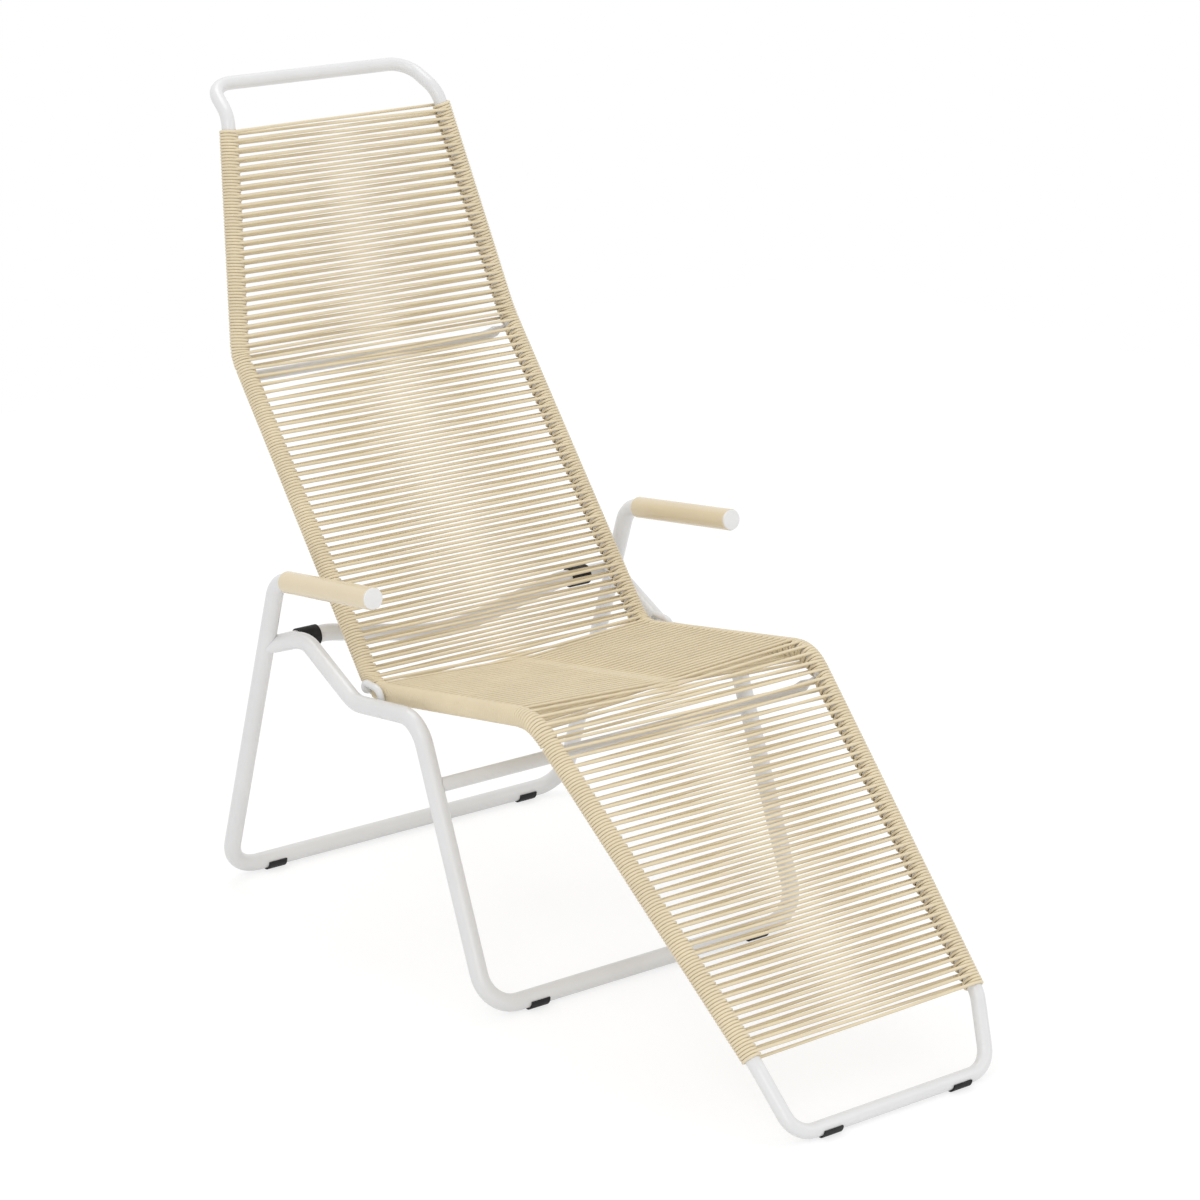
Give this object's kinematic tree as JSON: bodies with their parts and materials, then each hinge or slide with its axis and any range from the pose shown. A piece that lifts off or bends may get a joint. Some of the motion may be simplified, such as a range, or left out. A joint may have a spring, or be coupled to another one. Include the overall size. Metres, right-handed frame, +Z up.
{
  "type": "chaise lounge",
  "caption": "Tubular metal chaise lounge: a bed of strung plastic cord with leg rest and head panel tips back on a bent-tube base with sleeved arms.",
  "frame": {"origin": "on the floor, under the middle of the part's box", "axes": "+X to the sitter's left, -Y towards the foot end, +Z up"},
  "size_m": [0.6454, 1.3902, 1.1506],
  "materials": {
    "frame_paint": "satin powder coat, light grey white",
    "black_rubber": "matt black rubber",
    "grip_plastic": "smooth beige plastic sleeve",
    "cap_plastic": "satin white plastic",
    "bush_plastic": "satin white nylon",
    "cord": "round beige plastic cord"
  },
  "bodies": {
    "base": {"rear_leg_frame": "frame_paint", "front_leg_frame": "frame_paint", "stop_bar": "frame_paint", "leg_cross_bar": "frame_paint", "hinge_hooks": "frame_paint", "stop_sleeve_left": "black_rubber", "stop_sleeve_right": "black_rubber", "rear_foot_left": "black_rubber", "rear_foot_right": "black_rubber", "front_foot_left": "black_rubber", "front_foot_right": "black_rubber", "arm_grip_left": "grip_plastic", "arm_grip_right": "grip_plastic", "grip_cap_left": "cap_plastic", "grip_cap_right": "cap_plastic"},
    "bed": {"bed_frame": "frame_paint", "back_cross_bar": "frame_paint", "legrest_cross_bar": "frame_paint", "pivot_bush_left": "bush_plastic", "pivot_bush_right": "bush_plastic", "bed_foot_left": "black_rubber", "bed_foot_right": "black_rubber", "head_cords": "cord", "back_cords": "cord", "seat_cords": "cord", "leg_cords": "cord"}
  },
  "joints": [
    {"name": "bed_tilt", "type": "hinge", "parent": "base", "child": "bed", "pos_m": [0, 0.1651, 0.37605], "axis": [-1, 0, 0], "range_deg": [0, 29.3]}
  ]
}
